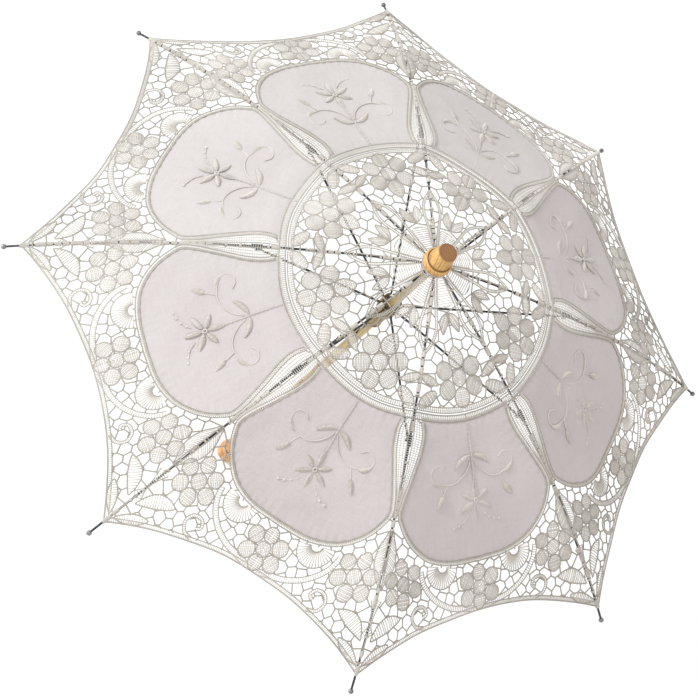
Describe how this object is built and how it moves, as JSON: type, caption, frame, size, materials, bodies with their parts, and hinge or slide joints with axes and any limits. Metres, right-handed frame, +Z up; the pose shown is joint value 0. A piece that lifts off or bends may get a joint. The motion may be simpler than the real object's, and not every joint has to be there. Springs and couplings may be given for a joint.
{
  "type": "lace parasol",
  "caption": "Small open lace parasol with wire ribs and stretchers, a sliding wooden runner, turned ferrule, wooden shaft and knobbed handle.",
  "frame": {"origin": "on the shaft's axis, in the middle of the cylindrical band of the handle's knob", "axes": "+Z up the shaft towards the ferrule; +X along rib 1, ribs numbered anticlockwise seen from above"},
  "size_m": [0.6042, 0.6042, 0.4873],
  "materials": {
    "shaft_wood": "satin varnish",
    "ferrule_wood": "satin varnish",
    "handle_wood": "satin varnish",
    "wire": "plain drawn wire",
    "spring_steel": "plated spring wire",
    "black_steel": "thin black enamel",
    "cotton": "plain-woven cotton",
    "lace": "cotton tape and thread lace",
    "embroidery": "satin-stitched cotton thread"
  },
  "bodies": {
    "root": {"shaft": "shaft_wood", "handle": "handle_wood", "ferrule": "ferrule_wood", "canopy_washer": "cotton", "top_notch": "shaft_wood", "notch_wire": "wire", "notch_nail": "wire", "stop_pin": "wire", "catch_pins": "wire"},
    "runner": {"runner": "shaft_wood", "runner_wire": "wire"},
    "top_catch": {"top_catch": "spring_steel"},
    "lower_catch": {"lower_catch": "spring_steel"},
    "rib_1": {"rib_1": "black_steel", "rib_tip_1": "black_steel", "rib_joint_1": "black_steel", "canopy_1": "lace"},
    "rib_2": {"rib_2": "black_steel", "rib_tip_2": "black_steel", "rib_joint_2": "black_steel", "canopy_2": "lace"},
    "rib_3": {"rib_3": "black_steel", "rib_tip_3": "black_steel", "rib_joint_3": "black_steel", "canopy_3": "lace"},
    "rib_4": {"rib_4": "black_steel", "rib_tip_4": "black_steel", "rib_joint_4": "black_steel", "canopy_4": "lace"},
    "rib_5": {"rib_5": "black_steel", "rib_tip_5": "black_steel", "rib_joint_5": "black_steel", "canopy_5": "lace"},
    "rib_6": {"rib_6": "black_steel", "rib_tip_6": "black_steel", "rib_joint_6": "black_steel", "canopy_6": "lace"},
    "rib_7": {"rib_7": "black_steel", "rib_tip_7": "black_steel", "rib_joint_7": "black_steel", "canopy_7": "lace"},
    "rib_8": {"rib_8": "black_steel", "rib_tip_8": "black_steel", "rib_joint_8": "black_steel", "canopy_8": "lace"},
    "stretcher_1": {"stretcher_1": "black_steel"},
    "stretcher_2": {"stretcher_2": "black_steel"},
    "stretcher_3": {"stretcher_3": "black_steel"},
    "stretcher_4": {"stretcher_4": "black_steel"},
    "stretcher_5": {"stretcher_5": "black_steel"},
    "stretcher_6": {"stretcher_6": "black_steel"},
    "stretcher_7": {"stretcher_7": "black_steel"},
    "stretcher_8": {"stretcher_8": "black_steel"}
  },
  "joints": [
    {"name": "runner_slide", "type": "slide", "parent": "root", "child": "runner", "axis": [0, 0, 1], "range_m": [-0.17212, 0], "deforming": ["canopy_1", "canopy_2", "canopy_3", "canopy_4", "canopy_5", "canopy_6", "canopy_7", "canopy_8", "top_catch", "lower_catch"]},
    {"name": "rib_1_hinge", "type": "hinge", "parent": "root", "child": "rib_1", "pos_m": [0.007, 0, 0.455], "axis": [0, 1, 0], "range_deg": [0, 64]},
    {"name": "rib_2_hinge", "type": "hinge", "parent": "root", "child": "rib_2", "pos_m": [0.00495, 0.00495, 0.455], "axis": [-0.7071, 0.7071, 0], "range_deg": [0, 64]},
    {"name": "rib_3_hinge", "type": "hinge", "parent": "root", "child": "rib_3", "pos_m": [0, 0.007, 0.455], "axis": [-1, 0, 0], "range_deg": [0, 64]},
    {"name": "rib_4_hinge", "type": "hinge", "parent": "root", "child": "rib_4", "pos_m": [-0.00495, 0.00495, 0.455], "axis": [-0.7071, -0.7071, 0], "range_deg": [0, 64]},
    {"name": "rib_5_hinge", "type": "hinge", "parent": "root", "child": "rib_5", "pos_m": [-0.007, 0, 0.455], "axis": [0, -1, 0], "range_deg": [0, 64]},
    {"name": "rib_6_hinge", "type": "hinge", "parent": "root", "child": "rib_6", "pos_m": [-0.00495, -0.00495, 0.455], "axis": [0.7071, -0.7071, 0], "range_deg": [0, 64]},
    {"name": "rib_7_hinge", "type": "hinge", "parent": "root", "child": "rib_7", "pos_m": [0, -0.007, 0.455], "axis": [1, 0, 0], "range_deg": [0, 64]},
    {"name": "rib_8_hinge", "type": "hinge", "parent": "root", "child": "rib_8", "pos_m": [0.00495, -0.00495, 0.455], "axis": [0.7071, 0.7071, 0], "range_deg": [0, 64]},
    {"name": "stretcher_1_hinge", "type": "hinge", "parent": "rib_1", "child": "stretcher_1", "pos_m": [0.12873, 0, 0.41767], "axis": [0, 1, 0], "range_deg": [-125.18, 0]},
    {"name": "stretcher_2_hinge", "type": "hinge", "parent": "rib_2", "child": "stretcher_2", "pos_m": [0.09103, 0.09103, 0.41767], "axis": [-0.7071, 0.7071, 0], "range_deg": [-125.18, 0]},
    {"name": "stretcher_3_hinge", "type": "hinge", "parent": "rib_3", "child": "stretcher_3", "pos_m": [0, 0.12873, 0.41767], "axis": [-1, 0, 0], "range_deg": [-125.18, 0]},
    {"name": "stretcher_4_hinge", "type": "hinge", "parent": "rib_4", "child": "stretcher_4", "pos_m": [-0.09103, 0.09103, 0.41767], "axis": [-0.7071, -0.7071, 0], "range_deg": [-125.18, 0]},
    {"name": "stretcher_5_hinge", "type": "hinge", "parent": "rib_5", "child": "stretcher_5", "pos_m": [-0.12873, 0, 0.41767], "axis": [0, -1, 0], "range_deg": [-125.18, 0]},
    {"name": "stretcher_6_hinge", "type": "hinge", "parent": "rib_6", "child": "stretcher_6", "pos_m": [-0.09103, -0.09103, 0.41767], "axis": [0.7071, -0.7071, 0], "range_deg": [-125.18, 0]},
    {"name": "stretcher_7_hinge", "type": "hinge", "parent": "rib_7", "child": "stretcher_7", "pos_m": [0, -0.12873, 0.41767], "axis": [1, 0, 0], "range_deg": [-125.18, 0]},
    {"name": "stretcher_8_hinge", "type": "hinge", "parent": "rib_8", "child": "stretcher_8", "pos_m": [0.09103, -0.09103, 0.41767], "axis": [0.7071, 0.7071, 0], "range_deg": [-125.18, 0]},
    {"name": "top_catch_press", "type": "hinge", "parent": "root", "child": "top_catch", "pos_m": [0.00055, 0.00023, 0.305], "axis": [0.3827, -0.9239, 0], "range_deg": [0, 5.5], "stiffness_Nm_per_rad": 1, "springref_deg": -2.86},
    {"name": "lower_catch_press", "type": "hinge", "parent": "root", "child": "lower_catch", "pos_m": [0.00055, 0.00023, 0.19448], "axis": [-0.3827, 0.9239, 0], "range_deg": [0, 7.5], "stiffness_Nm_per_rad": 0.5, "springref_deg": -2.86}
  ],
  "couplings": [
    {"joint": "rib_1_hinge", "follows": "runner_slide", "rad_per_m": -6.4897},
    {"joint": "rib_2_hinge", "follows": "runner_slide", "rad_per_m": -6.4897},
    {"joint": "rib_3_hinge", "follows": "runner_slide", "rad_per_m": -6.4897},
    {"joint": "rib_4_hinge", "follows": "runner_slide", "rad_per_m": -6.4897},
    {"joint": "rib_5_hinge", "follows": "runner_slide", "rad_per_m": -6.4897},
    {"joint": "rib_6_hinge", "follows": "runner_slide", "rad_per_m": -6.4897},
    {"joint": "rib_7_hinge", "follows": "runner_slide", "rad_per_m": -6.4897},
    {"joint": "rib_8_hinge", "follows": "runner_slide", "rad_per_m": -6.4897},
    {"joint": "stretcher_1_hinge", "follows": "runner_slide", "rad_per_m": 12.693},
    {"joint": "stretcher_2_hinge", "follows": "runner_slide", "rad_per_m": 12.693},
    {"joint": "stretcher_3_hinge", "follows": "runner_slide", "rad_per_m": 12.693},
    {"joint": "stretcher_4_hinge", "follows": "runner_slide", "rad_per_m": 12.693},
    {"joint": "stretcher_5_hinge", "follows": "runner_slide", "rad_per_m": 12.693},
    {"joint": "stretcher_6_hinge", "follows": "runner_slide", "rad_per_m": 12.693},
    {"joint": "stretcher_7_hinge", "follows": "runner_slide", "rad_per_m": 12.693},
    {"joint": "stretcher_8_hinge", "follows": "runner_slide", "rad_per_m": 12.693}
  ]
}
